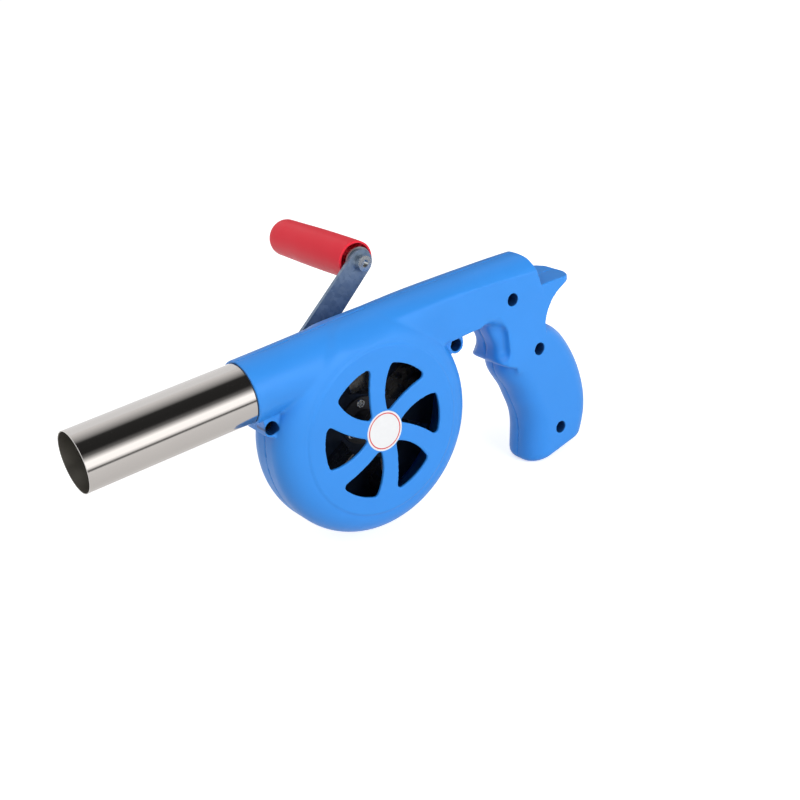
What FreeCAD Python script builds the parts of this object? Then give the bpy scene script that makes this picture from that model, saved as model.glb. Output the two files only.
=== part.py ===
"""Hand cranked blower: two moulded half shells hold a steel blast tube, a sheet steel impeller and
a two stage gear train, turned by a crank on the far side.

Frame: the origin is the centre of the tube's mouth. +X runs back along the tube to the grip,
+Y from the intake side to the crank side, and +Z is up. The shells part on the plane Y = 0.
Sizes are in millimetres.
"""
import FreeCAD, Part
import math
import os

V = FreeCAD.Vector
ALONG_Y = V(0, 1, 0)

# Blast tube
TUBE_OD = 30.0
TUBE_WALL = 0.6
TUBE_SHOWING = 85.0
TUBE_SEATED = 14.0
TUBE_DRAWN_IN = 0.3
TUBE_SHOULDER_GAP = 0.5

# Mouldings
WALL = 2.0
SOCKET_WALL = 1.1
PRESS_GAP = 0.02
HALF_WIDTH = 14.5

# Fan drum and its intake face
FAN_X = TUBE_SHOWING + 62.9
FAN_Z = -39.7
DRUM_R = 57.0
DRUM_HALF = 19.1
PLATEAU_R = 43.5
RIM_STRAIGHT = 4.5
RING_STEP = 0.7
WINDOW_COUNT = 6
WINDOW_TIP_R = 10.9
WINDOW_OUTER_R = 34.8
WINDOW_CORNER_R = 2.2
LABEL_R = 10.4
LABEL_THICKNESS = 0.3

# Barrel over the drum and back to the grip
CREST_MID = 17.3
CREST_HIGH = 17.6
CREST_BACK = 16.5
CREST_END = 14.6
ROOF_R = 20.4
KEEL_RISE = 0.9
BAR_UNDERSIDE = -12.3
BAR_END_X = FAN_X + 114.1

# Spur, neck, trigger and grip
SPUR_TIP_X = BAR_END_X + 22.0
SPUR_TOP_Z = -1.6
POCKET_FLOOR = 9.2
POCKET_BACK_X = BAR_END_X - 26.0
POCKET_LOW_Z = -36.3
POCKET_COVE = 4.6
TRIGGER_EDGE_R = 4.6
TRIGGER_LIP_Z = -37.6
TRIGGER_CHIN_REACH = 33.0
GRIP_NOSE_R = 12.0
GRIP_PALM_R = 10.5
GRIP_BOTTOM_Z = -106.0
SOLE_EDGE_R = 4.0
GRIP_BOTTOM_RISE = 0.187

# Case screws: head down in a deep round recess, point in the far shell
SCREW_R = 1.5
SCREW_HEAD_R = 2.9
SCREW_HEAD_H = 2.0
SCREW_LENGTH = 12.0
SCREW_CLEARANCE = 0.2
RECESS_R = 3.4
BOSS_R = 4.8
HEAD_SEAT = 2.6
LUG_HALF = 9.0
LUG_BACK = 8.6
RIB_THICKNESS = 1.2

# Gear train
PRESSURE_ANGLE = 25.0
TOOTH_ADDENDUM = 0.8
TOOTH_DEDENDUM = 1.1
BACKLASH = 0.12
MODULE_1 = 0.9
DRIVE_TEETH = 45
COMPOUND_PINION_TEETH = 10
MODULE_2 = 0.6
COMPOUND_WHEEL_TEETH = 40
IMPELLER_PINION_TEETH = 10
GEAR_FACE_1 = 3.2
GEAR_FACE_2 = 3.0
CRANK_X = FAN_X - 21.9
CRANK_Z = FAN_Z + 27.2

# Shafts and bushes
RUNNING_GAP = 0.04
IMPELLER_SHAFT_R = 2.0
COMPOUND_SHAFT_R = 1.5
CRANK_SHAFT_R = 4.0
CRANK_JOURNAL_R = 3.0
BUSH_WALL = 1.6
BUSH_FLANGE = 1.0

# Gear plate
PLATE_Y = 4.5
PLATE_THICKNESS = 1.2
PLATE_CORNER_R = 7.0
PILLAR_R = 3.2
PLATE_SCREW_R = 1.2

# Impeller
IMPELLER_R = 47.0
IMPELLER_SHEET = 0.8
BLADE_COUNT = 6
BLADE_INNER_R = 12.0
BLADE_HEIGHT = 13.0
BLADE_PHASE = 28.0
IMPELLER_BACK_Y = 1.8
HUB_R = 6.0
HUB_LENGTH = 9.0
RIVET_R = 1.4
RIVET_CIRCLE_R = 9.4
RIVET_COUNT = 3

# Crank
ARM_LENGTH = 67.0
ARM_ANGLE = 38.9
ARM_Y = 26.0
ARM_THICKNESS = 2.0
ARM_WIDTH_HUB = 15.6
ARM_WIDTH_TIP = 13.4
NUT_FLATS = 10.0
NUT_THICKNESS = 3.2

# Handle
GRIP_KNOB_R = 10.2
GRIP_KNOB_LENGTH = 73.0
KNOB_GAP = 0.6
KNOB_WALL = 1.8
KNOB_HOLLOW = 12.0
PIN_R = 2.5
PIN_HEAD_H = 3.4
PIN_HEAD_R = 4.0
WASHER_R = 7.6
WASHER_THICKNESS = 1.2

# Level and reach ahead of the bar's end, down the front of the trigger
TRIGGER_STATIONS = [(-9.3, 35.4), (-15.0, 34.8), (-20.2, 33.5), (-25.8, 31.3), (-30.5, 30.7),
                    (-34.8, 31.9), (-38.0, 33.6), (-42.0, 34.0), (-50.0, 30.0)]

# Level, reach ahead of the bar's end and reach behind it, down the grip
GRIP_STATIONS = [(-27.0, 24.0, 4.7), (-35.0, 25.0, 14.6), (-44.0, 27.2, 20.2), (-54.0, 23.0, 24.5),
                 (-66.0, 18.0, 27.7), (-78.0, 14.6, 28.8), (-90.0, 14.9, 26.7), (-100.0, 16.5, 22.2),
                 (-112.0, 17.6, 15.5)]

# Places worked out from the sizes above
FAN = V(FAN_X, 0, FAN_Z)
CRANK = V(CRANK_X, 0, CRANK_Z)
TUBE_R = TUBE_OD / 2
NOZZLE_R = TUBE_R + SOCKET_WALL
INNER_FACE = DRUM_HALF - WALL
ARM_DIRECTION = V(math.cos(math.radians(ARM_ANGLE)), 0, math.sin(math.radians(ARM_ANGLE)))
HANDLE = CRANK + ARM_DIRECTION * ARM_LENGTH


def at(x, z, y=0.0):
    return V(x, y, z)


def line(a, b):
    return Part.LineSegment(a, b).toShape()


def arc(a, via, b):
    return Part.Arc(a, via, b).toShape()


def prism(edges, y0, y1):
    """Solid between y0 and y1 from edges that lie in the plane Y = 0."""
    face = Part.Face(Part.Wire(Part.__sortEdges__(edges)))
    face.translate(V(0, y0, 0))
    return face.extrude(V(0, y1 - y0, 0))


def rod(centre, radius, y0, y1):
    """Cylinder along Y."""
    return Part.makeCylinder(radius, y1 - y0, V(centre.x, y0, centre.z), ALONG_Y)


def ring(centre, outer, inner, y0, y1):
    return rod(centre, outer, y0, y1).cut(rod(centre, inner, y0 - 1, y1 + 1))


def hexagon(centre, flats, y0, y1):
    points = []
    for k in range(7):
        a = math.radians(60 * k)
        points.append(V(centre.x + flats / math.sqrt(3) * math.cos(a), y0,
                        centre.z + flats / math.sqrt(3) * math.sin(a)))
    return Part.Face(Part.makePolygon(points)).extrude(V(0, y1 - y0, 0))


def fused(shapes):
    body = shapes[0]
    if len(shapes) > 1:
        body = body.fuse(shapes[1:])
    return body.removeSplitter()


def polar(centre, radius, degrees, y=0.0):
    a = math.radians(degrees)
    return V(centre.x + radius * math.cos(a), y, centre.z + radius * math.sin(a))


# Outer form of the case, and the same form drawn in by the wall for the hollow inside

def barrel_section(x, half, crest, shoulder_y, shoulder_z, keel, inset):
    """Closed section of four arcs: crown, two sides and keel, drawn in by inset."""
    diagonal = inset * math.sqrt(0.5)
    if shoulder_y > 0.95 * half:
        diagonal = inset
    sy = shoulder_y - diagonal
    top = shoulder_z - diagonal
    low = keel + inset + KEEL_RISE
    side = half - inset
    middle = (top + low) / 2
    crown = arc(V(x, -sy, top), V(x, 0, crest - inset), V(x, sy, top))
    right = arc(V(x, sy, top), V(x, side, middle), V(x, sy, low))
    under = arc(V(x, sy, low), V(x, 0, keel + inset), V(x, -sy, low))
    left = arc(V(x, -sy, low), V(x, -side, middle), V(x, -sy, top))
    return Part.Wire([crown, right, under, left])


def round_section(x, radius, inset):
    r = radius - inset
    d = r * math.sqrt(0.5)
    crown = arc(V(x, -d, d), V(x, 0, r), V(x, d, d))
    right = arc(V(x, d, d), V(x, r, 0), V(x, d, -d))
    under = arc(V(x, d, -d), V(x, 0, -r), V(x, -d, -d))
    left = arc(V(x, -d, -d), V(x, -r, 0), V(x, -d, d))
    return Part.Wire([crown, right, under, left])


def barrel(inset):
    """Round at the tube socket, flat sided with a low crown towards the grip."""
    flat = HALF_WIDTH - 0.25
    sections = [
        round_section(TUBE_SHOWING, NOZZLE_R, inset),
        round_section(TUBE_SHOWING + 28, NOZZLE_R + 0.35, inset),
        barrel_section(FAN_X, NOZZLE_R + 0.6, CREST_MID, 12.4, 11.7, -NOZZLE_R, inset),
        barrel_section(FAN_X + 36, HALF_WIDTH + 0.9, CREST_HIGH, 13.9, 12.0,
                       BAR_UNDERSIDE - 1, inset),
        barrel_section(FAN_X + 62, HALF_WIDTH, CREST_MID - 0.2, flat, 11.2,
                       BAR_UNDERSIDE, inset),
        barrel_section(BAR_END_X - 27, HALF_WIDTH, CREST_BACK, flat, 9.4, BAR_UNDERSIDE, inset),
        barrel_section(BAR_END_X + 6, HALF_WIDTH, CREST_END, flat, 6.6, BAR_UNDERSIDE, inset),
    ]
    body = Part.makeLoft(sections, True, False)
    end = BAR_END_X - inset
    floor = BAR_UNDERSIDE - 20
    corner = CREST_END - 5 - inset
    profile = [
        line(at(TUBE_SHOWING - 1, floor), at(TUBE_SHOWING - 1, 30)),
        line(at(TUBE_SHOWING - 1, 30), at(end - 7.0, 30)),
        line(at(end - 7.0, 30), at(end - 7.0, corner + 6.6)),
        arc(at(end - 7.0, corner + 6.6), at(end - 4.3, corner + 4.9), at(end - 3.0, corner + 1.0)),
        line(at(end - 3.0, corner + 1.0), at(end, -4)),
        line(at(end, -4), at(end, floor)),
        line(at(end, floor), at(TUBE_SHOWING - 1, floor)),
    ]
    return body.common(prism(profile, -60, 60))


def drum_profile(inset):
    """Half section in X and Y: flat intake face, a small ring step, then a domed edge."""
    top = DRUM_HALF - inset
    rim = DRUM_R - inset
    flat = PLATEAU_R - inset * 0.4
    step = RING_STEP if inset == 0 else 0.2
    edge_y = RIM_STRAIGHT
    rise = top - step - edge_y
    reach = rim - flat - 1.0
    lean = math.radians(45)
    shoulder = V(flat + 1.0 + reach * math.sin(lean), edge_y + rise * math.cos(lean), 0)
    return [
        line(V(0, top, 0), V(flat, top, 0)),
        line(V(flat, top, 0), V(flat + 1.0, top - step, 0)),
        arc(V(flat + 1.0, top - step, 0), shoulder, V(rim, edge_y, 0)),
        line(V(rim, edge_y, 0), V(rim, 0, 0)),
        line(V(rim, 0, 0), V(0, 0, 0)),
        line(V(0, 0, 0), V(0, top, 0)),
    ]


def drum(inset):
    """Revolved drum whose upper edge rolls over to meet the barrel's crown."""
    face = Part.Face(Part.Wire(drum_profile(inset)))
    crank_side = face.revolve(V(0, 0, 0), ALONG_Y, 360)
    intake_side = crank_side.mirror(V(0, 0, 0), ALONG_Y)
    body = crank_side.fuse(intake_side)
    body.translate(FAN)
    reach = 2 * DRUM_R + 10
    roof_z = CREST_MID - ROOF_R
    roof = Part.makeCylinder(ROOF_R - inset, reach, V(FAN_X - reach / 2, 0, roof_z), V(1, 0, 0))
    below = Part.makeBox(reach, reach, reach, V(FAN_X - reach / 2, -reach / 2, roof_z - reach))
    return body.common(roof.fuse(below))


def column_section(z, front, back, half, nose, palm):
    """Level section with rounded front and back corners."""
    a = math.sqrt(0.5)
    nx = front + nose
    px = back - palm
    ny = half - nose
    py = half - palm
    def p(x, y):
        return V(x, y, z)
    return Part.Wire([
        line(p(front, -ny), p(front, ny)),
        arc(p(front, ny), p(nx - nose * a, ny + nose * a), p(nx, half)),
        line(p(nx, half), p(px, half)),
        arc(p(px, half), p(px + palm * a, py + palm * a), p(back, py)),
        line(p(back, py), p(back, -py)),
        arc(p(back, -py), p(px + palm * a, -py - palm * a), p(px, -half)),
        line(p(px, -half), p(nx, -half)),
        arc(p(nx, -half), p(nx - nose * a, -ny - nose * a), p(front, -ny)),
    ])


def grip(inset):
    """Grip column lofted down its length, cut off at a sloped sole with a rounded edge."""
    half = HALF_WIDTH - inset
    nose = GRIP_NOSE_R - inset
    palm = GRIP_PALM_R - inset
    sections = []
    for z, reach, behind in GRIP_STATIONS:
        front = BAR_END_X - reach + inset
        sections.append(column_section(z, front, BAR_END_X + behind - inset, half, nose, palm))
    body = Part.makeLoft(sections, True, False)
    low = GRIP_BOTTOM_Z + inset
    heel = BAR_END_X + 25 - inset
    toe = BAR_END_X - 30
    heel_z = low + (heel - BAR_END_X + 16) * GRIP_BOTTOM_RISE
    toe_z = low - 14 * GRIP_BOTTOM_RISE
    above = [
        line(at(toe, 0), at(toe, toe_z)),
        line(at(toe, toe_z), at(heel, heel_z)),
        line(at(heel, heel_z), at(heel + 20, heel_z + 16)),
        line(at(heel + 20, heel_z + 16), at(heel + 20, 0)),
        line(at(heel + 20, 0), at(toe, 0)),
    ]
    body = body.common(prism(above, -60, 60))
    if inset:
        return body
    rim = []
    for edge in body.Edges:
        if edge.BoundBox.ZMax < heel_z + 2:
            rim.append(edge)
    return body.makeFillet(SOLE_EDGE_R, rim)


def spur_plan(inset):
    """Outline of the neck seen from above: the spur's tip is bowed, with rounded corners."""
    half = HALF_WIDTH - inset
    tip = SPUR_TIP_X - inset * 1.6
    front = BAR_END_X - 40
    edges = [
        line(V(front, -half, 0), V(tip - 6.5, -half, 0)),
        arc(V(tip - 6.5, -half, 0), V(tip - 2.8, -half + 1.6, 0), V(tip - 0.8, -half + 4.8, 0)),
        arc(V(tip - 0.8, -half + 4.8, 0), V(tip + 1.0, 0, 0), V(tip - 0.8, half - 4.8, 0)),
        arc(V(tip - 0.8, half - 4.8, 0), V(tip - 2.8, half - 1.6, 0), V(tip - 6.5, half, 0)),
        line(V(tip - 6.5, half, 0), V(front, half, 0)),
        line(V(front, half, 0), V(front, -half, 0)),
    ]
    face = Part.Face(Part.Wire(edges))
    face.translate(V(0, 0, -60))
    return face.extrude(V(0, 0, 80))


def neck(inset):
    """Flat sided web between bar and grip, with the hammer like spur behind it."""
    half = HALF_WIDTH - inset
    end = BAR_END_X - inset
    tip = SPUR_TIP_X + 1.0 - inset * 1.6
    top = SPUR_TOP_Z - inset
    root = BAR_UNDERSIDE + 5
    sole = -46 + inset
    front = BAR_END_X - 22
    profile = [
        line(at(front, root), at(end - 3, root)),
        line(at(end - 3, root), at(end - 3, top)),
        arc(at(end - 3, top), at(end + 9, top - 0.1), at(tip - 2.4, top - 0.9)),
        arc(at(tip - 2.4, top - 0.9), at(tip - 0.3, top - 2.0), at(tip - 1.2, top - 3.4)),
        arc(at(tip - 1.2, top - 3.4), at(end + 6.1, -12.3 + inset * 0.4), at(end, -24.5)),
        line(at(end, -24.5), at(end, -34)),
        line(at(end, -34), at(end - 10, sole)),
        line(at(end - 10, sole), at(front, sole)),
        line(at(front, sole), at(front, root)),
    ]
    return prism(profile, -half, half).common(spur_plan(inset))


def trigger(inset):
    """Fixed trigger: a full width finger rest under the bar, undercut where the grip starts."""
    half = HALF_WIDTH - inset
    edge = TRIGGER_EDGE_R - inset * 0.5
    back = BAR_END_X - 12
    sections = []
    for z, reach in TRIGGER_STATIONS:
        sections.append(column_section(z, BAR_END_X - reach + inset, back, half, edge, edge))
    body = Part.makeLoft(sections, True, False)
    lip = BAR_END_X - 38
    lip_z = TRIGGER_LIP_Z + inset
    chin = BAR_END_X - TRIGGER_CHIN_REACH + inset
    keep = [
        line(at(lip, 0), at(back + 5, 0)),
        line(at(back + 5, 0), at(back + 5, lip_z - 11)),
        line(at(back + 5, lip_z - 11), at(chin + 3.4, lip_z - 1.3)),
        arc(at(chin + 3.4, lip_z - 1.3), at(chin + 0.9, lip_z + 0.7), at(chin, lip_z + 3.6)),
        line(at(chin, lip_z + 3.6), at(lip, lip_z + 3.6)),
        line(at(lip, lip_z + 3.6), at(lip, 0)),
    ]
    return body.common(prism(keep, -60, 60))


def pocket(side, inset):
    """Finger recess in one side of the trigger, with a coved floor."""
    front = BAR_END_X - 56
    back = POCKET_BACK_X + inset
    top = BAR_UNDERSIDE + inset
    low = POCKET_LOW_Z - inset
    crown = 9.0
    toe = 5.5
    a = 1 - math.sqrt(0.5)
    outline = [
        line(at(front, top), at(back - crown, top)),
        arc(at(back - crown, top), at(back - crown * a, top - crown * a), at(back, top - crown)),
        line(at(back, top - crown), at(back, low + toe)),
        arc(at(back, low + toe), at(back - toe * a, low + toe * a), at(back - toe, low)),
        line(at(back - toe, low), at(front, low)),
        line(at(front, low), at(front, top)),
    ]
    floor = POCKET_FLOOR - inset
    tool = prism(outline, side * floor, side * (HALF_WIDTH + 5))
    cove = []
    for edge in tool.Edges:
        ends = edge.BoundBox
        on_floor = abs(ends.YMin - side * floor) < 0.01 and abs(ends.YMax - side * floor) < 0.01
        if on_floor and ends.XMax > front + 0.1:
            cove.append(edge)
    return tool.makeFillet(POCKET_COVE, cove)


SCREWS_IN_LUGS = [at(FAN_X - 55.5, FAN_Z + 21.1), at(FAN_X + 57.4, FAN_Z + 22.7)]
SCREWS_IN_BODY = [at(BAR_END_X - 20.9, -3.1), at(BAR_END_X - 5.7, -36.6), at(BAR_END_X + 4.4, -88.0)]


def lugs(y0, y1):
    """Screw lugs in the two corners between barrel and drum."""
    left = SCREWS_IN_LUGS[0]
    right = SCREWS_IN_LUGS[1]
    left_edges = [
        line(at(left.x - 3.4, left.z + 6), at(left.x + 10, left.z + 6)),
        line(at(left.x + 10, left.z + 6), at(left.x + 7, left.z - 5.4)),
        line(at(left.x + 7, left.z - 5.4), at(left.x + 1.0, left.z - 5.6)),
        line(at(left.x + 1.0, left.z - 5.6), at(left.x - 3.4, left.z - 3.2)),
        line(at(left.x - 3.4, left.z - 3.2), at(left.x - 3.4, left.z + 6)),
    ]
    r = BOSS_R
    right_edges = [
        line(at(right.x + r, right.z), at(right.x + r, right.z + 7)),
        line(at(right.x + r, right.z + 7), at(right.x - 9, right.z + 7)),
        line(at(right.x - 9, right.z + 7), at(right.x - 9, right.z - 2)),
        line(at(right.x - 9, right.z - 2), at(right.x - r * 0.6, right.z - r * 0.8)),
        arc(at(right.x - r * 0.6, right.z - r * 0.8), at(right.x + r * 0.6, right.z - r * 0.8),
            at(right.x + r, right.z)),
    ]
    return [prism(left_edges, y0, y1), prism(right_edges, y0, y1)]


def case_form(inset):
    body = fused([barrel(inset), drum(inset), grip(inset), neck(inset), trigger(inset)])
    return body.cut([pocket(-1, inset), pocket(1, inset)])


def window(index):
    """One pinwheel opening: a narrow tip at the hub, one bowed side, one hollow side."""
    turn = index * 360.0 / WINDOW_COUNT
    r0 = WINDOW_TIP_R
    r1 = WINDOW_OUTER_R
    def p(radius, degrees):
        return polar(FAN, radius, degrees + turn)
    edges = [
        arc(p(r0 + 0.3, 72), p(r0, 66.5), p(r0 + 0.6, 60)),
        arc(p(r0 + 0.6, 60), p(r0 + 10.3, 44.4), p(r1 - 0.1, 33.5)),
        arc(p(r1 - 0.1, 33.5), p(r1, 54), p(r1 - 0.1, 73.2)),
        arc(p(r1 - 0.1, 73.2), p(r0 + 12.0, 79.0), p(r0 + 0.3, 72)),
    ]
    body = prism(edges, -DRUM_HALF - 1, -INNER_FACE + 3)
    uprights = []
    for edge in body.Edges:
        a, b = edge.Vertexes[0].Point, edge.Vertexes[-1].Point
        far = math.hypot(a.x - FAN_X, a.z - FAN_Z) > r1 - 1
        if abs(a.y - b.y) > 1 and far:
            uprights.append(edge)
    return body.makeFillet(WINDOW_CORNER_R, uprights)


def rib(centre, along, length, form):
    """Stiffening rib inside a shell, trimmed to a form that ends within the wall."""
    box = Part.makeBox(length, 60, RIB_THICKNESS, V(-length / 2, -30, -RIB_THICKNESS / 2))
    box.rotate(V(0, 0, 0), ALONG_Y, -along)
    box.translate(centre)
    return box.common(form)


def build_shells():
    outer = case_form(0)
    inner = case_form(WALL)
    skin = outer.cut(inner)
    skin = skin.fuse(lugs(-LUG_HALF, LUG_BACK)).cut(inner)
    in_wall = case_form(WALL / 2)
    reach = 400
    front_space = Part.makeBox(reach, 60, reach, V(0, -60, -reach / 2))
    rear_space = Part.makeBox(reach, 60, reach, V(0, 0, -reach / 2))

    grip_ribs = []
    for z in (-58, -72):
        grip_ribs.append(rib(at(BAR_END_X + 4, z), 0, 60, in_wall))
    bar_ribs = []
    for x in (FAN_X + 70, FAN_X + 81):
        bar_ribs.append(rib(at(x, 0), 90, 40, in_wall))
    shared = []
    for place in SCREWS_IN_BODY:
        shared.append(rod(place, BOSS_R, -40, 40).common(in_wall))
    shared += grip_ribs + bar_ribs
    inside = fused(shared)

    spigot_r = SCREW_HEAD_R + 0.4
    front = skin.common(front_space).fuse(inside.common(front_space))
    rear = skin.common(rear_space).fuse(inside.common(rear_space))
    relief = Part.makeBox(100, 11, 200, V(FAN_X + 62, -5.5, -150)).common(fused(grip_ribs + bar_ribs))
    front = front.cut(relief)
    rear = rear.cut(relief)

    # Tube socket
    socket = Part.makeCylinder(TUBE_R - TUBE_DRAWN_IN + PRESS_GAP, TUBE_SEATED + 1,
                               V(TUBE_SHOWING - 1, 0, 0), V(1, 0, 0))
    front = front.cut(socket)
    rear = rear.cut(socket)

    # Screw holes, with a spigot round each screw that locates the shells
    for place in SCREWS_IN_BODY + SCREWS_IN_LUGS:
        front = front.cut(rod(place, RECESS_R, -60, -HEAD_SEAT))
        front = front.cut(rod(place, SCREW_R + SCREW_CLEARANCE, -60, 1))
        rear = rear.cut(rod(place, SCREW_R, -1, SCREW_LENGTH - HEAD_SEAT - SCREW_HEAD_H + 0.5))
    for place in SCREWS_IN_BODY:
        front = front.fuse(ring(place, spigot_r, SCREW_R + SCREW_CLEARANCE, -0.5, 1.0))
        rear = rear.cut(rod(place, spigot_r + PRESS_GAP, -1, 1.1))

    # Intake windows and the hub that carries the front bush
    hub_depth = 3.2
    front = front.fuse(rod(FAN, 6.2, -INNER_FACE - 0.5, -INNER_FACE + hub_depth))
    for k in range(WINDOW_COUNT):
        front = front.cut(window(k))
    front = front.cut(rod(FAN, front_bush_outer(), -INNER_FACE, 0))
    front = front.cut(rod(FAN, LABEL_R + PRESS_GAP, -DRUM_HALF - 1, -DRUM_HALF + LABEL_THICKNESS))

    # Rear shell: crank boss outside, bush seat, pillars for the gear plate
    boss_outer = CRANK_SHAFT_R + BUSH_WALL + 2.4
    rear = rear.fuse(rod(CRANK, boss_outer, INNER_FACE, crank_boss_end()))
    rear = rear.cut(rod(CRANK, CRANK_SHAFT_R + BUSH_WALL + PRESS_GAP, 0, 60))
    rear = rear.fuse(rod(FAN, IMPELLER_SHAFT_R + BUSH_WALL + 1.6, rear_bush_start(), INNER_FACE + 0.5))
    rear = rear.cut(rod(FAN, front_bush_outer(), 0, rear_bush_end()))
    middle = compound_centre()
    rear = rear.fuse(rod(middle, COMPOUND_SHAFT_R + 1.8, compound_end() + 0.3, INNER_FACE + 0.5))
    rear = rear.cut(rod(middle, COMPOUND_SHAFT_R + PRESS_GAP, 0, INNER_FACE + 0.8))
    for place in pillar_places():
        pillar = rod(place, PILLAR_R, PLATE_Y + PLATE_THICKNESS, INNER_FACE + 1)
        rear = rear.fuse(pillar)
        rear = rear.cut(rod(place, PLATE_SCREW_R, 0, PLATE_Y + PLATE_THICKNESS + 7))
    return front.removeSplitter(), rear.removeSplitter()


# Gears

def involute_point(base, radius):
    """Polar angle of an involute at a radius, measured from where it leaves its base circle."""
    a = math.sqrt(max((radius / base) ** 2 - 1, 0.0))
    return a - math.atan(a)


def gear(centre, module, teeth, y0, y1, phase):
    """Spur gear on involute flanks; phase is the direction in degrees of one tooth's middle.

    A wheel's flank is nearly straight and gets one chord, and a pinion's flank gets two.
    """
    pitch = module * teeth / 2
    base = pitch * math.cos(math.radians(PRESSURE_ANGLE))
    tip = pitch + TOOTH_ADDENDUM * module
    root = pitch - TOOTH_DEDENDUM * module
    start = max(base, root)
    half_tooth = math.pi / (2 * teeth) - BACKLASH / (4 * pitch)
    at_pitch = involute_point(base, pitch)
    levels = [start, tip] if teeth > 20 else [start, (start + tip) / 2, tip]
    points = []
    for k in range(teeth):
        middle = math.radians(phase) + 2 * math.pi * k / teeth
        flank = []
        for radius in levels:
            flank.append((radius, half_tooth + at_pitch - involute_point(base, radius)))
        foot = half_tooth + at_pitch
        points.append((root, middle - foot))
        for radius, lean in flank:
            points.append((radius, middle - lean))
        for radius, lean in reversed(flank):
            points.append((radius, middle + lean))
        points.append((root, middle + foot))
    corners = []
    for radius, angle in points:
        p = V(centre.x + radius * math.cos(angle), y0, centre.z + radius * math.sin(angle))
        if not corners or (p - corners[-1]).Length > 1e-4:
            corners.append(p)
    corners.append(corners[0])
    return Part.Face(Part.makePolygon(corners)).extrude(V(0, y1 - y0, 0))


def compound_centre():
    """Where both centre distances of the two stage train are met, above the fan's axis."""
    first = MODULE_1 * (DRIVE_TEETH + COMPOUND_PINION_TEETH) / 2
    second = MODULE_2 * (COMPOUND_WHEEL_TEETH + IMPELLER_PINION_TEETH) / 2
    apart = (FAN - CRANK).Length
    u = (FAN - CRANK) * (1 / apart)
    along = (first ** 2 - second ** 2 + apart ** 2) / (2 * apart)
    across = math.sqrt(first ** 2 - along ** 2)
    return CRANK + u * along + V(-u.z, 0, u.x) * across


def heading(a, b):
    return math.degrees(math.atan2(b.z - a.z, b.x - a.x))


def stage_1_start():
    return PLATE_Y + PLATE_THICKNESS + 1.2


def stage_2_start():
    return stage_1_start() + GEAR_FACE_1 + 0.8


def compound_end():
    return stage_2_start() + GEAR_FACE_2


def rear_bush_start():
    return compound_end() + 0.5


def rear_bush_end():
    return INNER_FACE + 0.7


def crank_boss_end():
    return ARM_Y - 3.0


def front_bush_outer():
    return IMPELLER_SHAFT_R + BUSH_WALL


def pillar_places():
    return [at(FAN_X + 3.1, FAN_Z + 43.2), at(FAN_X + 23.6, FAN_Z - 1.3), at(FAN_X - 36.9, FAN_Z + 0.7)]


def build_train():
    middle = compound_centre()
    nodes = {}
    first = heading(CRANK, middle)
    second = heading(middle, FAN)
    y1 = stage_1_start()
    y2 = stage_2_start()
    drive = gear(CRANK, MODULE_1, DRIVE_TEETH, y1, y1 + GEAR_FACE_1, first)
    drive = drive.fuse(rod(CRANK, 7.0, y1, y2 + GEAR_FACE_2))
    lightening = []
    for k in range(6):
        lightening.append(rod(polar(CRANK, 12.6, 60 * k), 3.6, y1 - 2, y2))
    drive = drive.cut(lightening)
    nodes["drive_gear"] = drive.cut(rod(CRANK, CRANK_SHAFT_R, 0, 40)).removeSplitter()

    pinion_gap = 180.0 + first + 180.0 / COMPOUND_PINION_TEETH
    wheel = gear(middle, MODULE_2, COMPOUND_WHEEL_TEETH, y2, y2 + GEAR_FACE_2, second)
    hub = rod(middle, 3.3, y1 + GEAR_FACE_1, y2)
    small = gear(middle, MODULE_1, COMPOUND_PINION_TEETH, y1 - 0.2, y1 + GEAR_FACE_1 + 0.3, pinion_gap)
    bore = rod(middle, COMPOUND_SHAFT_R + RUNNING_GAP, 0, 40)
    nodes["compound_gear"] = wheel.fuse([hub, small]).cut(bore).removeSplitter()

    shaft_gap = 180.0 + second + 180.0 / IMPELLER_PINION_TEETH
    last = gear(FAN, MODULE_2, IMPELLER_PINION_TEETH, y2 - 0.2, y2 + GEAR_FACE_2 + 0.1, shaft_gap)
    nodes["impeller_pinion"] = last.cut(rod(FAN, IMPELLER_SHAFT_R, 0, 40))

    nodes["compound_shaft"] = rod(middle, COMPOUND_SHAFT_R, PLATE_Y - 0.4, INNER_FACE + 0.8)
    nodes["impeller_shaft"] = rod(FAN, IMPELLER_SHAFT_R, -INNER_FACE + 0.3, rear_bush_end() - 0.3)

    # Crank shaft: journal in the gear plate, full size in the rear bush, threaded end for the nut
    thick_start = PLATE_Y + PLATE_THICKNESS + BUSH_FLANGE + 0.1
    shaft = rod(CRANK, CRANK_SHAFT_R, thick_start, ARM_Y)
    shaft = shaft.fuse(rod(CRANK, CRANK_JOURNAL_R, PLATE_Y - 1.0, thick_start))
    shaft = shaft.fuse(rod(CRANK, CRANK_JOURNAL_R, ARM_Y, ARM_Y + ARM_THICKNESS + NUT_THICKNESS + 1.2))
    nodes["crank_shaft"] = shaft.removeSplitter()
    return nodes


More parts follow.
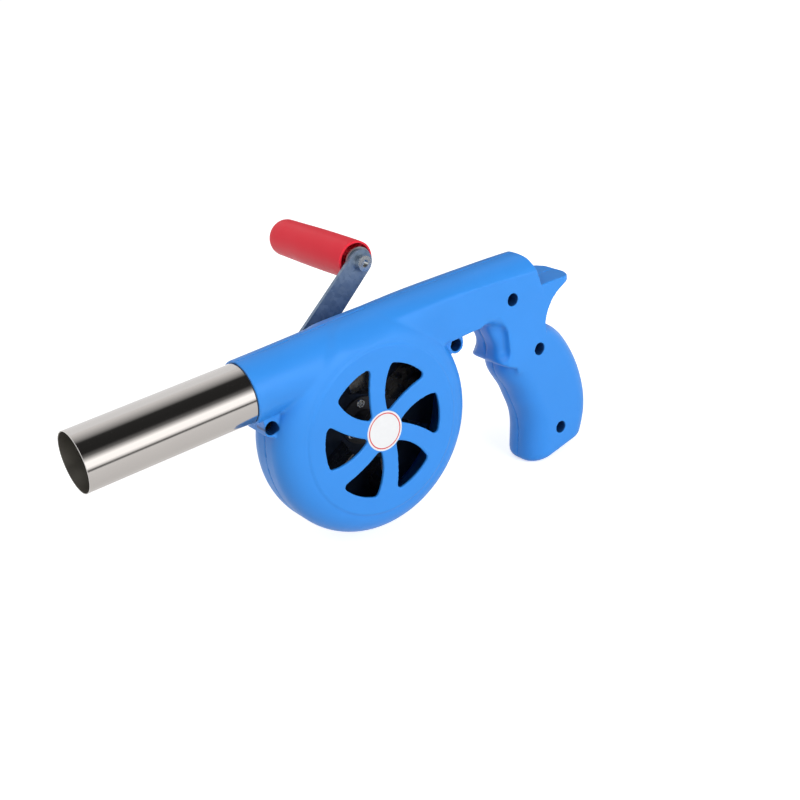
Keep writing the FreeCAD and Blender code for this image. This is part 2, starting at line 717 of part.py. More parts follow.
def build_bushes():
    nodes = {}
    outer = front_bush_outer()
    bore = IMPELLER_SHAFT_R + RUNNING_GAP
    nodes["front_bush"] = ring(FAN, outer, bore, -INNER_FACE, -INNER_FACE + 3.2)
    nodes["rear_bush"] = ring(FAN, outer, bore, rear_bush_start(), rear_bush_end())
    crank_outer = CRANK_SHAFT_R + BUSH_WALL
    sleeve = ring(CRANK, crank_outer, CRANK_SHAFT_R + RUNNING_GAP, INNER_FACE, crank_boss_end())
    flange = ring(CRANK, crank_outer + 1.4, CRANK_SHAFT_R + RUNNING_GAP, crank_boss_end(),
                  crank_boss_end() + BUSH_FLANGE)
    nodes["crank_bush"] = sleeve.fuse(flange).removeSplitter()
    plate_end = PLATE_Y + PLATE_THICKNESS
    seat = ring(CRANK, CRANK_JOURNAL_R + BUSH_WALL, CRANK_JOURNAL_R + RUNNING_GAP, PLATE_Y - 1.0, plate_end)
    collar = ring(CRANK, CRANK_JOURNAL_R + BUSH_WALL + 1.2, CRANK_JOURNAL_R + RUNNING_GAP, plate_end,
                  plate_end + BUSH_FLANGE)
    nodes["plate_bush"] = seat.fuse(collar).removeSplitter()
    return nodes


def build_plate():
    """Gear plate of steel sheet on three pillars, and its screws."""
    nodes = {}
    a, b, c = pillar_places()
    corners = [a, b, c, CRANK]
    outline = Part.Face(Part.makePolygon(corners + [a]))
    outline = outline.makeOffset2D(PLATE_CORNER_R)
    outline.translate(V(0, PLATE_Y, 0))
    plate = outline.extrude(V(0, PLATE_THICKNESS, 0))
    holes = [rod(CRANK, CRANK_JOURNAL_R + BUSH_WALL + PRESS_GAP, 0, 20)]
    holes.append(rod(FAN, IMPELLER_SHAFT_R + 1.0, 0, 20))
    holes.append(rod(compound_centre(), COMPOUND_SHAFT_R + PRESS_GAP, 0, 20))
    for place in (a, b, c):
        holes.append(rod(place, PLATE_SCREW_R + 0.15, 0, 20))
    nodes["gear_plate"] = plate.cut(holes)
    screws = []
    for place in (a, b, c):
        head = rod(place, PLATE_SCREW_R * 2, PLATE_Y - 1.3, PLATE_Y)
        shank = rod(place, PLATE_SCREW_R, PLATE_Y, PLATE_Y + PLATE_THICKNESS + 5)
        slot = Part.makeBox(8, 0.6, 0.6, V(place.x - 4, PLATE_Y - 1.3, place.z - 0.3))
        screws.append(head.fuse(shank).removeSplitter().cut(slot))
    nodes["gear_plate_screws"] = Part.makeCompound(screws)
    return nodes


def build_impeller():
    """Sheet steel back plate with folded paddles, a turned hub and the rivets that hold it."""
    nodes = {}
    back = IMPELLER_BACK_Y
    face = back - IMPELLER_SHEET
    plate = rod(FAN, IMPELLER_R - 1.0, face, back)
    plate = plate.cut(rod(FAN, IMPELLER_SHAFT_R, -20, 20))
    rivet_places = []
    for k in range(RIVET_COUNT):
        rivet_places.append(polar(FAN, RIVET_CIRCLE_R, 90 + 360.0 * k / RIVET_COUNT))
    hub_flange_y = face - 1.5
    hub = rod(FAN, HUB_R, face - HUB_LENGTH, face)
    hub = hub.fuse(rod(FAN, RIVET_CIRCLE_R + 3.0, hub_flange_y, face))
    hub = hub.cut(rod(FAN, IMPELLER_SHAFT_R, -20, 20))
    rivets = []
    for place in rivet_places:
        plate = plate.cut(rod(place, RIVET_R, -20, 20))
        hub = hub.cut(rod(place, RIVET_R, -20, 20))
        shank = rod(place, RIVET_R, hub_flange_y, back)
        front_head = rod(place, RIVET_R * 1.8, hub_flange_y - 0.9, hub_flange_y)
        rivets.append(shank.fuse(front_head).removeSplitter())
    nodes["impeller_hub"] = hub.removeSplitter()
    nodes["hub_rivets"] = Part.makeCompound(rivets)
    nodes["impeller_back_plate"] = plate

    blades = []
    foot = 5.0
    for k in range(BLADE_COUNT):
        profile = [
            line(V(BLADE_INNER_R + 2.5, face, 0), V(IMPELLER_R - 2, face, 0)),
            line(V(IMPELLER_R - 2, face, 0), V(IMPELLER_R, face - BLADE_HEIGHT * 0.55, 0)),
            line(V(IMPELLER_R, face - BLADE_HEIGHT * 0.55, 0),
                 V(IMPELLER_R - 9, face - BLADE_HEIGHT, 0)),
            line(V(IMPELLER_R - 9, face - BLADE_HEIGHT, 0),
                 V(BLADE_INNER_R + 6, face - BLADE_HEIGHT, 0)),
            line(V(BLADE_INNER_R + 6, face - BLADE_HEIGHT, 0), V(BLADE_INNER_R + 2.5, face, 0)),
        ]
        paddle = Part.Face(Part.Wire(profile)).extrude(V(0, 0, IMPELLER_SHEET))
        flange = Part.makeBox(IMPELLER_R - BLADE_INNER_R - 8, IMPELLER_SHEET, foot,
                              V(BLADE_INNER_R + 4, face - IMPELLER_SHEET, 0))
        blade = paddle.fuse(flange).removeSplitter()
        blade.rotate(V(0, 0, 0), ALONG_Y, -(BLADE_PHASE + 360.0 * k / BLADE_COUNT))
        blade.translate(FAN)
        blades.append(blade)
    nodes["impeller_blades"] = Part.makeCompound(blades)
    return nodes


def build_crank():
    nodes = {}
    far = HANDLE
    across = V(-ARM_DIRECTION.z, 0, ARM_DIRECTION.x)
    rh = ARM_WIDTH_HUB / 2
    rt = ARM_WIDTH_TIP / 2
    edges = [
        line(CRANK + across * rh, far + across * rt),
        arc(far + across * rt, far + ARM_DIRECTION * rt, far - across * rt),
        line(far - across * rt, CRANK - across * rh),
        arc(CRANK - across * rh, CRANK - ARM_DIRECTION * rh, CRANK + across * rh),
    ]
    arm = prism(edges, ARM_Y, ARM_Y + ARM_THICKNESS)
    arm = arm.cut(rod(CRANK, CRANK_JOURNAL_R, 0, 60))
    arm = arm.cut(rod(far, PIN_R, 0, 60))
    nodes["crank_arm"] = arm
    outside = ARM_Y + ARM_THICKNESS
    nut = hexagon(CRANK, NUT_FLATS, outside, outside + NUT_THICKNESS)
    nodes["crank_nut"] = nut.cut(rod(CRANK, CRANK_JOURNAL_R, 0, 60))

    # Handle pin: shouldered head on the near face of the arm, washers and knob beyond it
    head = rod(far, PIN_HEAD_R, ARM_Y - PIN_HEAD_H, ARM_Y)
    head = head.cut(rod(far, 1.9, ARM_Y - PIN_HEAD_H - 1, ARM_Y - PIN_HEAD_H + 1.6))
    shank = rod(far, PIN_R, ARM_Y, knob_end() - 14)
    nodes["handle_pin"] = head.fuse(shank).removeSplitter()
    washers = ring(far, WASHER_R, PIN_R, outside, outside + WASHER_THICKNESS)
    nodes["handle_washer"] = washers
    collar = hexagon(far, 8.0, outside + WASHER_THICKNESS, outside + WASHER_THICKNESS + 3.0)
    nodes["handle_nut"] = collar.cut(rod(far, PIN_R, 0, 90))
    return nodes


def knob_start():
    return ARM_Y + ARM_THICKNESS + WASHER_THICKNESS + KNOB_GAP


def knob_end():
    return knob_start() + GRIP_KNOB_LENGTH


def build_knob():
    """Hollow moulded knob, slightly bellied, open and ribbed towards the arm."""
    y0 = knob_start()
    y1 = knob_end()
    r = GRIP_KNOB_R
    dome = r * 0.85
    belly = r + 0.35
    middle = (y0 + y1) / 2
    profile = [
        line(V(0, y0, 0), V(r - 0.5, y0, 0)),
        arc(V(r - 0.5, y0, 0), V(r - 0.15, y0 + 0.15, 0), V(r, y0 + 0.6, 0)),
        arc(V(r, y0 + 0.6, 0), V(belly, middle, 0), V(r - 0.2, y1 - dome, 0)),
        arc(V(r - 0.2, y1 - dome, 0), V((r - 0.2) * 0.76, y1 - dome * 0.30, 0), V(1.5, y1, 0)),
        line(V(1.5, y1, 0), V(0, y1, 0)),
        line(V(0, y1, 0), V(0, y0, 0)),
    ]
    knob = Part.Face(Part.Wire(profile)).revolve(V(0, 0, 0), ALONG_Y, 360)
    knob.translate(V(HANDLE.x, 0, HANDLE.z))
    hollow = rod(HANDLE, r - KNOB_WALL, y0 - 1, y0 + KNOB_HOLLOW)
    ribs = []
    for k in range(4):
        web = Part.makeBox(r - 0.6 - 5.4, KNOB_HOLLOW - 3.4, 1.4, V(5.4, y0 + 3.4, -0.7))
        web.rotate(V(0, 0, 0), ALONG_Y, -(45 + 90 * k))
        web.translate(V(HANDLE.x, 0, HANDLE.z))
        ribs.append(web)
    bore = rod(HANDLE, PIN_R + RUNNING_GAP, y0, y1 - 13.5)
    knob = knob.cut(hollow).fuse(ribs).cut(bore)
    return {"handle_knob": knob.removeSplitter()}


def build_tube():
    """Blast tube: thin rolled steel, its far end drawn in a little to sit in the socket."""
    full = TUBE_SHOWING - TUBE_SHOULDER_GAP
    home = TUBE_SHOWING + TUBE_SEATED - 0.1
    outer = [(0, TUBE_R), (full, TUBE_R), (full + 0.3, TUBE_R - TUBE_DRAWN_IN),
             (home, TUBE_R - TUBE_DRAWN_IN)]
    corners = []
    for x, r in outer:
        corners.append(V(x, 0, r))
    for x, r in reversed(outer):
        corners.append(V(x, 0, r - TUBE_WALL))
    corners.append(corners[0])
    return {"blast_tube": Part.Face(Part.makePolygon(corners)).revolve(V(0, 0, 0), V(1, 0, 0), 360)}


def build_screws():
    screws = []
    for place in SCREWS_IN_BODY + SCREWS_IN_LUGS:
        top = -HEAD_SEAT - SCREW_HEAD_H
        head = rod(place, SCREW_HEAD_R, top, -HEAD_SEAT)
        shank = rod(place, SCREW_R, -HEAD_SEAT, top + SCREW_LENGTH)
        cross = Part.makeBox(3.4, 1.0, 0.7, V(place.x - 1.7, top, place.z - 0.35))
        cross = cross.fuse(Part.makeBox(0.7, 1.0, 3.4, V(place.x - 0.35, top, place.z - 1.7)))
        screws.append(head.fuse(shank).removeSplitter().cut(cross))
    return {"case_screws": Part.makeCompound(screws)}


def build_label():
    """Plain round label let into the hub of the intake face, flush with it."""
    return {"hub_label": rod(FAN, LABEL_R, -DRUM_HALF, -DRUM_HALF + LABEL_THICKNESS)}


def main():
    os.makedirs("parts", exist_ok=True)
    front, rear = build_shells()
    nodes = {"front_shell": front, "rear_shell": rear}
    for builder in (build_tube, build_screws, build_label, build_train, build_bushes, build_plate,
                    build_impeller, build_crank, build_knob):
        nodes.update(builder())
    for name, shape in sorted(nodes.items()):
        box = shape.BoundBox
        print("%-20s solids %d  valid %s  volume %9.1f  X %.1f..%.1f  Y %.1f..%.1f  Z %.1f..%.1f" % (
            name, len(shape.Solids), shape.isValid(), shape.Volume, box.XMin, box.XMax,
            box.YMin, box.YMax, box.ZMin, box.ZMax))
        shape.exportStep("parts/%s.step" % name)


main()
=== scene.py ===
"""Hand crank fan: moulded blue case, polished blast tube, galvanised crank and red knob."""

import math

import bmesh
import bpy
import numpy
from mathutils import Matrix, Vector


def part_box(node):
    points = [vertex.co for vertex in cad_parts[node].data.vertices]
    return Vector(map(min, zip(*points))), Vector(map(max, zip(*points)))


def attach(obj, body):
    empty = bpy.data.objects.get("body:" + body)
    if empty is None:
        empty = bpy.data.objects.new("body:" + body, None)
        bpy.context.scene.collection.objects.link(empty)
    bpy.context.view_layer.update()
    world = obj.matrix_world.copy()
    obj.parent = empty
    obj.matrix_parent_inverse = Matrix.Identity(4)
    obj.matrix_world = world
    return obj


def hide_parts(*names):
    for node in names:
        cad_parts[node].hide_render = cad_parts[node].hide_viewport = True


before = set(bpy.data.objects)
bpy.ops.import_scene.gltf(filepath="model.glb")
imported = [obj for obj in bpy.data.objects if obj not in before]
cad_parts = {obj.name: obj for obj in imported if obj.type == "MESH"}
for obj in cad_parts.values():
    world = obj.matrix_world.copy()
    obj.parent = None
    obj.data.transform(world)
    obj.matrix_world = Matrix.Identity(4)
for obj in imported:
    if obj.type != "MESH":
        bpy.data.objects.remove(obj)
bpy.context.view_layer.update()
scene = bpy.context.scene
MM = 0.001

# The frame's own places, read from its solids

TUBE_LOW, TUBE_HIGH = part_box("blast_tube")
TUBE_RADIUS = (TUBE_HIGH[2] - TUBE_LOW[2]) / 2
LABEL_LOW, LABEL_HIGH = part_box("hub_label")
FAN_X = (LABEL_LOW[0] + LABEL_HIGH[0]) / 2
FAN_Z = (LABEL_LOW[2] + LABEL_HIGH[2]) / 2
KNOB_LOW, KNOB_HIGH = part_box("handle_knob")
HANDLE_X = (KNOB_LOW[0] + KNOB_HIGH[0]) / 2
HANDLE_Z = (KNOB_LOW[2] + KNOB_HIGH[2]) / 2
HUB_FACE_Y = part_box("impeller_hub")[1][1]
CASE_FOOT_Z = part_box("front_shell")[0][2]
FLOOR_Z = CASE_FOOT_Z - 0.4 * MM
BAR_END_X = FAN_X + 114.1 * MM

# Case screws: two in the lugs beside the drum, three down the grip
SCREWS = [(FAN_X - 55.5 * MM, FAN_Z + 21.1 * MM), (FAN_X + 57.4 * MM, FAN_Z + 22.7 * MM),
          (BAR_END_X - 20.9 * MM, -3.1 * MM), (BAR_END_X - 5.7 * MM, -36.6 * MM),
          (BAR_END_X + 4.4 * MM, -88.0 * MM)]
SCREW_SEAT_Y = -2.6 * MM
SCREW_RECESS = 3.4 * MM

# The camera's place in millimetres, with the way it faces and its right hand side
CAMERA_PLACE = (-153.54, -490.11, 241.24)
CAMERA_FORWARD = (0.4999, 0.75244, -0.42888)
CAMERA_RIGHT = (0.78974, -0.5993, -0.13092)
CAMERA_LENS = 57.27

# Light that comes from all round, and what the floor adds to it where it is seen
AMBIENT = 0.52
FLOOR_GLOW = 0.62

# What the tube mirrors, as directions in degrees and how bright the screen is there
FRONT_BANDS = [(56, 0.95), (66, 0.84), (77, 0.62), (89, 0.36), (100, 0.03), (139, 0.025),
               (151, 0.20), (161, 0.85), (170, 1.75), (188, 1.65), (194, 0.95), (197.5, 0.14),
               (200.5, 0.14), (204, 0.95), (225, 0.86), (262, 0.80), (300, 0.86)]
BACK_BANDS = [(-4, 0.30), (20, 0.25), (56, 0.25)]
SCREEN_RADIUS = 1.2
SCREEN_END_X = 2.2

CASE_BLUE = (0.027, 0.236, 0.70)
KNOB_RED = (0.76, 0.018, 0.038)
TUBE_STEEL = (0.60, 0.575, 0.56)
TUBE_BORE = (0.32, 0.305, 0.275)
TUBE_WELD = (0.75, 0.73, 0.70)
# Navy used as painted shade down the screw recesses
RECESS_PAINTED_SHADE = (0.004, 0.022, 0.10)
LABEL_WHITE = (0.72, 0.72, 0.72)
LABEL_LINE = (0.60, 0.05, 0.06)
LABEL_LINE_RADIUS = 9.2 * MM


# Small helpers for node trees

def add(tree, kind, inputs=None, **settings):
    """Adds a node, then sets its inputs to values or links them to sockets."""
    made = tree.nodes.new(kind)
    for label, value in settings.items():
        setattr(made, label, value)
    for label, value in (inputs or {}).items():
        if isinstance(value, bpy.types.NodeSocket):
            tree.links.new(value, made.inputs[label])
        else:
            made.inputs[label].default_value = value
    return made


def maths(tree, operation, first, second=0.0, third=0.0):
    made = add(tree, "ShaderNodeMath", {0: first, 1: second, 2: third}, operation=operation)
    return made.outputs[0]


def span(tree, value, from_low, from_high, to_low, to_high):
    made = add(tree, "ShaderNodeMapRange", {"Value": value, "From Min": from_low,
                                            "From Max": from_high, "To Min": to_low,
                                            "To Max": to_high})
    return made.outputs["Result"]


def blend(tree, mask, first, second):
    """Colour that goes from first to second as the mask goes from 0 to 1."""
    made = add(tree, "ShaderNodeMix", {"Factor": mask, 6: first, 7: second}, data_type="RGBA")
    return made.outputs[2]


def object_noise(tree, scale, detail=2.0, stretch=(1, 1, 1)):
    where = add(tree, "ShaderNodeTexCoord")
    turned = add(tree, "ShaderNodeMapping", {"Vector": where.outputs["Object"], "Scale": stretch})
    return add(tree, "ShaderNodeTexNoise", {"Vector": turned.outputs["Vector"], "Scale": scale,
                                            "Detail": detail}).outputs["Fac"]


def new_group(name, kind, inputs, outputs):
    group = bpy.data.node_groups.new(name, kind)
    for label, socket, value in inputs:
        made = group.interface.new_socket(label, in_out="INPUT", socket_type=socket)
        if value is not None:
            made.default_value = value
    for label, socket in outputs:
        group.interface.new_socket(label, in_out="OUTPUT", socket_type=socket)
    return group, group.nodes.new("NodeGroupInput"), group.nodes.new("NodeGroupOutput")


# Camera, floor and light

def aim(thing, target):
    thing.rotation_euler = (Vector(target) - thing.location).to_track_quat("-Z", "Y").to_euler()


def add_camera():
    right = Vector(CAMERA_RIGHT).normalized()
    forward = Vector(CAMERA_FORWARD).normalized()
    up = right.cross(forward).normalized()
    camera = bpy.data.cameras.new("camera")
    camera.sensor_width = 36.0
    camera.lens = CAMERA_LENS
    camera.clip_start = 0.01
    holder = bpy.data.objects.new("camera", camera)
    scene.collection.objects.link(holder)
    place = Matrix.Identity(4)
    for row in range(3):
        place[row][0] = right[row]
        place[row][1] = up[row]
        place[row][2] = -forward[row]
    place.translation = Vector(CAMERA_PLACE) * MM
    holder.matrix_world = place
    scene.camera = holder


def add_lamp(name, place, target, width, height, power, glossy):
    lamp = bpy.data.lights.new(name, "AREA")
    lamp.shape = "RECTANGLE"
    lamp.size = width
    lamp.size_y = height
    lamp.energy = power
    holder = bpy.data.objects.new(name, lamp)
    scene.collection.objects.link(holder)
    holder.location = place
    holder.visible_glossy = glossy
    aim(holder, target)


def seen_directly(tree):
    """1 for the camera's rays and for those that reach a mirror or pass through glass."""
    path = add(tree, "ShaderNodeLightPath")
    seen = maths(tree, "MAXIMUM", path.outputs["Is Camera Ray"], path.outputs["Is Glossy Ray"])
    return maths(tree, "MAXIMUM", seen, path.outputs["Is Transmission Ray"])


def add_world():
    world = bpy.data.worlds.new("studio")
    scene.world = world
    world.use_nodes = True
    tree = world.node_tree
    tree.nodes.clear()
    ambient = add(tree, "ShaderNodeBackground", {"Color": (0.95, 0.97, 1.0, 1),
                                                 "Strength": AMBIENT})
    white = add(tree, "ShaderNodeBackground", {"Color": (1, 1, 1, 1), "Strength": 1.0})
    both = add(tree, "ShaderNodeMixShader", {0: seen_directly(tree), 1: ambient.outputs[0],
                                             2: white.outputs[0]})
    add(tree, "ShaderNodeOutputWorld", {"Surface": both.outputs[0]})


def stage_object(name, corners, faces, material):
    mesh = bpy.data.meshes.new(name)
    mesh.from_pydata(corners, [], faces)
    mesh.materials.append(material)
    holder = bpy.data.objects.new(name, mesh)
    scene.collection.objects.link(holder)
    return holder


def add_floor():
    material = bpy.data.materials.new("pale_floor")
    material.use_nodes = True
    tree = material.node_tree
    tree.nodes.clear()
    paint = add(tree, "ShaderNodeBsdfDiffuse", {"Color": (0.85, 0.85, 0.85, 1)})
    glow = add(tree, "ShaderNodeEmission", {"Strength": FLOOR_GLOW})
    lit = add(tree, "ShaderNodeAddShader", {0: paint.outputs[0], 1: glow.outputs[0]})
    both = add(tree, "ShaderNodeMixShader", {0: seen_directly(tree), 1: paint.outputs[0],
                                             2: lit.outputs[0]})
    add(tree, "ShaderNodeOutputMaterial", {"Surface": both.outputs[0]})
    reach = 6.0
    corners = [(-reach, -reach, FLOOR_Z), (reach, -reach, FLOOR_Z), (reach, reach, FLOOR_Z),
               (-reach, reach, FLOOR_Z)]
    stage_object("floor", corners, [(0, 1, 2, 3)], material)


def add_studio_screen(name, bands, start_x):
    """Curved screen round the tube's line that only mirrors see: dark card above, softbox in front.

    Each band is a direction in degrees, from the back (0) over the top (90) to the front (180),
    and how bright the screen is there. Below the front it lies on the floor.
    """
    material = bpy.data.materials.new(name)
    material.use_nodes = True
    tree = material.node_tree
    tree.nodes.clear()
    bright = add(tree, "ShaderNodeAttribute", attribute_name="bright")
    glow = add(tree, "ShaderNodeEmission", {"Color": (1.0, 0.985, 0.965, 1),
                                            "Strength": bright.outputs["Fac"]})
    add(tree, "ShaderNodeOutputMaterial", {"Surface": glow.outputs[0]})
    corners = []
    faces = []
    for step, (degrees, _) in enumerate(bands):
        angle = math.radians(degrees)
        reach = SCREEN_RADIUS
        if math.sin(angle) < 0:
            reach = min(SCREEN_RADIUS, (FLOOR_Z + 1 * MM) / math.sin(angle))
        for x in (start_x, SCREEN_END_X):
            corners.append((x, reach * math.cos(angle), reach * math.sin(angle)))
        if step:
            faces.append((2 * step - 2, 2 * step - 1, 2 * step + 1, 2 * step))
    holder = stage_object(name, corners, faces, material)
    levels = holder.data.attributes.new("bright", "FLOAT", "POINT")
    for step, (_, level) in enumerate(bands):
        levels.data[2 * step].value = level
        levels.data[2 * step + 1].value = level
    for rays in ("camera", "diffuse", "transmission", "volume_scatter", "shadow"):
        setattr(holder, "visible_" + rays, False)


# Effects that several finishes share

def make_mottle():
    """Slight unevenness of a colour, as in moulded or plated surfaces."""
    group, given, out = new_group("mottle", "ShaderNodeTree",
                                  [("Colour", "NodeSocketColor", (1, 1, 1, 1)),
                                   ("Scale", "NodeSocketFloat", 30.0),
                                   ("Depth", "NodeSocketFloat", 0.05)],
                                  [("Colour", "NodeSocketColor")])
    cloud = object_noise(group, given.outputs["Scale"], 3.0)
    lift = maths(group, "MULTIPLY_ADD", maths(group, "SUBTRACT", cloud, 0.5),
                 maths(group, "MULTIPLY", given.outputs["Depth"], 4.0), 1.0)
    scaled = add(group, "ShaderNodeVectorMath", {0: given.outputs["Colour"], "Scale": lift},
                 operation="SCALE")
    group.links.new(scaled.outputs[0], out.inputs["Colour"])
    return group


def make_skin():
    """Fine grain: a roughness that wanders a little, and a height for the bump."""
    group, given, out = new_group("skin", "ShaderNodeTree",
                                  [("Scale", "NodeSocketFloat", 1400.0),
                                   ("Roughness", "NodeSocketFloat", 0.4),
                                   ("Spread", "NodeSocketFloat", 0.05)],
                                  [("Roughness", "NodeSocketFloat"), ("Height", "NodeSocketFloat")])
    fine = object_noise(group, given.outputs["Scale"])
    wide = object_noise(group, maths(group, "MULTIPLY", given.outputs["Scale"], 0.06))
    wander = maths(group, "MULTIPLY", maths(group, "SUBTRACT", wide, 0.5), given.outputs["Spread"])
    rough = maths(group, "MULTIPLY_ADD", wander, 3.0, given.outputs["Roughness"])
    group.links.new(rough, out.inputs["Roughness"])
    group.links.new(fine, out.inputs["Height"])
    return group


def make_recess_shade():
    """Mask for painted shade: 1 down a round recess that runs along Y from the intake side, 0
    elsewhere.
    """
    group, given, out = new_group("recess_shade", "ShaderNodeTree",
                                  [("Centre X", "NodeSocketFloat", 0.0),
                                   ("Centre Z", "NodeSocketFloat", 0.0),
                                   ("Radius", "NodeSocketFloat", 0.0034)],
                                  [("Shade", "NodeSocketFloat")])
    where = add(group, "ShaderNodeTexCoord")
    part = add(group, "ShaderNodeSeparateXYZ", {0: where.outputs["Object"]})
    across = maths(group, "SUBTRACT", part.outputs[0], given.outputs["Centre X"])
    level = maths(group, "SUBTRACT", part.outputs[2], given.outputs["Centre Z"])
    square = maths(group, "ADD", maths(group, "MULTIPLY", across, across),
                   maths(group, "MULTIPLY", level, level))
    away = maths(group, "SQRT", square)
    edge = maths(group, "DIVIDE", away, given.outputs["Radius"])
    inside = span(group, edge, 0.98, 1.05, 1.0, 0.0)
    intake_side = maths(group, "LESS_THAN", part.outputs[1], -1 * MM)
    group.links.new(maths(group, "MULTIPLY", inside, intake_side), out.inputs["Shade"])
    return group


def make_spangle():
    """Zinc coating on sheet steel: patches of crystals a little lighter or darker than the rest."""
    group, given, out = new_group("spangle", "ShaderNodeTree",
                                  [("Dark", "NodeSocketColor", (0.1, 0.1, 0.1, 1)),
                                   ("Light", "NodeSocketColor", (0.3, 0.3, 0.3, 1)),
                                   ("Scale", "NodeSocketFloat", 500.0),
                                   ("Roughness", "NodeSocketFloat", 0.4)],
                                  [("Colour", "NodeSocketColor"), ("Roughness", "NodeSocketFloat"),
                                   ("Height", "NodeSocketFloat")])
    where = add(group, "ShaderNodeTexCoord")
    drift = add(group, "ShaderNodeTexNoise", {"Vector": where.outputs["Object"], "Scale": 160.0})
    bent = add(group, "ShaderNodeVectorMath", {0: drift.outputs["Color"], "Scale": 0.004},
               operation="SCALE")
    moved = add(group, "ShaderNodeVectorMath", {0: where.outputs["Object"], 1: bent.outputs[0]},
                operation="ADD")
    cells = add(group, "ShaderNodeTexVoronoi", {"Vector": moved.outputs[0],
                                                "Scale": given.outputs["Scale"]})
    split = add(group, "ShaderNodeSeparateColor", {"Color": cells.outputs["Color"]})
    cloud = object_noise(group, 90.0, 4.0)
    patch = maths(group, "ADD", maths(group, "MULTIPLY", split.outputs[0], 0.45),
                  maths(group, "MULTIPLY", cloud, 0.6))
    group.links.new(blend(group, patch, given.outputs["Dark"], given.outputs["Light"]),
                    out.inputs["Colour"])
    rough = maths(group, "MULTIPLY_ADD", maths(group, "SUBTRACT", split.outputs[1], 0.5), 0.16,
                  given.outputs["Roughness"])
    group.links.new(rough, out.inputs["Roughness"])
    group.links.new(object_noise(group, 700.0), out.inputs["Height"])
    return group


# Finishes

def new_material(name, base, roughness, metallic=0.0, specular=0.5):
    material = bpy.data.materials.new(name)
    material.use_nodes = True
    shader = material.node_tree.nodes["Principled BSDF"]
    shader.inputs["Base Color"].default_value = (*base, 1)
    shader.inputs["Roughness"].default_value = roughness
    shader.inputs["Metallic"].default_value = metallic
    shader.inputs["Specular IOR Level"].default_value = specular
    return material, material.node_tree, shader


def use_group(tree, group, inputs):
    holder = add(tree, "ShaderNodeGroup", node_tree=group)
    for label, value in inputs.items():
        if isinstance(value, bpy.types.NodeSocket):
            tree.links.new(value, holder.inputs[label])
        else:
            holder.inputs[label].default_value = value
    return holder


def emboss(tree, shader, height, strength, distance):
    relief = add(tree, "ShaderNodeBump", {"Height": height, "Strength": strength,
                                          "Distance": distance})
    tree.links.new(relief.outputs["Normal"], shader.inputs["Normal"])


def give_skin(tree, shader, scale, roughness, wander, strength, depth):
    skin = use_group(tree, SKIN, {"Scale": scale, "Roughness": roughness, "Spread": wander})
    tree.links.new(skin.outputs["Roughness"], shader.inputs["Roughness"])
    emboss(tree, shader, skin.outputs["Height"], strength, depth)


def moulded_plastic(name, base, roughness, specular=0.35):
    """Satin moulded plastic, faintly cloudy, with the fine skin of its tool."""
    material, tree, shader = new_material(name, base, roughness, 0.0, specular)
    cloud = use_group(tree, MOTTLE, {"Colour": (*base, 1), "Scale": 26.0, "Depth": 0.035})
    tree.links.new(cloud.outputs["Colour"], shader.inputs["Base Color"])
    give_skin(tree, shader, 1400.0, roughness, 0.05, 0.10, 0.00005)
    return material


def case_plastic(name, base, roughness):
    """The case's plastic, with painted shade down the screw recesses."""
    material, tree, shader = new_material(name, base, roughness, 0.0, 0.35)
    cloud = use_group(tree, MOTTLE, {"Colour": (*base, 1), "Scale": 26.0, "Depth": 0.03})
    shade = None
    for x, z in SCREWS:
        one = use_group(tree, RECESS_SHADE, {"Centre X": x, "Centre Z": z, "Radius": SCREW_RECESS})
        shade = one.outputs[0] if shade is None else maths(tree, "MAXIMUM", shade, one.outputs[0])
    # Painted shade: the base colour turns navy down each screw recess
    deep = blend(tree, shade, cloud.outputs["Colour"], (*RECESS_PAINTED_SHADE, 1))
    tree.links.new(deep, shader.inputs["Base Color"])
    give_skin(tree, shader, 1400.0, roughness, 0.05, 0.10, 0.00005)
    return material


def polished_tube():
    """Drawn steel tube: bright, with faint lines along it and a weld seam inside."""
    material, tree, shader = new_material("polished_tube", TUBE_STEEL, 0.1, 1.0)
    where = add(tree, "ShaderNodeTexCoord")
    part = add(tree, "ShaderNodeSeparateXYZ", {0: where.outputs["Object"]})
    around = maths(tree, "ARCTAN2", part.outputs[2], part.outputs[1])
    beside = maths(tree, "ABSOLUTE", maths(tree, "SUBTRACT", around, math.radians(58)))
    seam = span(tree, beside, 0.015, 0.035, 1.0, 0.0)
    square = maths(tree, "ADD", maths(tree, "MULTIPLY", part.outputs[1], part.outputs[1]),
                   maths(tree, "MULTIPLY", part.outputs[2], part.outputs[2]))
    bore = maths(tree, "LESS_THAN", square, (TUBE_RADIUS - 0.3 * MM) ** 2)
    mark = maths(tree, "MULTIPLY", seam, bore)
    cloud = use_group(tree, MOTTLE, {"Colour": (*TUBE_STEEL, 1), "Scale": 40.0, "Depth": 0.012})
    dull = blend(tree, bore, cloud.outputs["Colour"], (*TUBE_BORE, 1))
    tree.links.new(blend(tree, mark, dull, (*TUBE_WELD, 1)), shader.inputs["Base Color"])
    drawn = object_noise(tree, 60.0, 4.0, (0.6, 14, 14))
    rough = maths(tree, "ADD", span(tree, drawn, 0.3, 0.7, 0.085, 0.125),
                  maths(tree, "MULTIPLY", bore, 0.30))
    tree.links.new(rough, shader.inputs["Roughness"])
    emboss(tree, shader, object_noise(tree, 26.0, 2.0, (0.5, 3, 3)), 0.035, 0.0002)
    return material


def galvanised(name, dark, light, roughness, metallic, scale):
    material, tree, shader = new_material(name, light, roughness, metallic)
    zinc = use_group(tree, SPANGLE, {"Dark": (*dark, 1), "Light": (*light, 1), "Scale": scale,
                                     "Roughness": roughness})
    tree.links.new(zinc.outputs["Colour"], shader.inputs["Base Color"])
    tree.links.new(zinc.outputs["Roughness"], shader.inputs["Roughness"])
    emboss(tree, shader, zinc.outputs["Height"], 0.12, 0.0001)
    return material


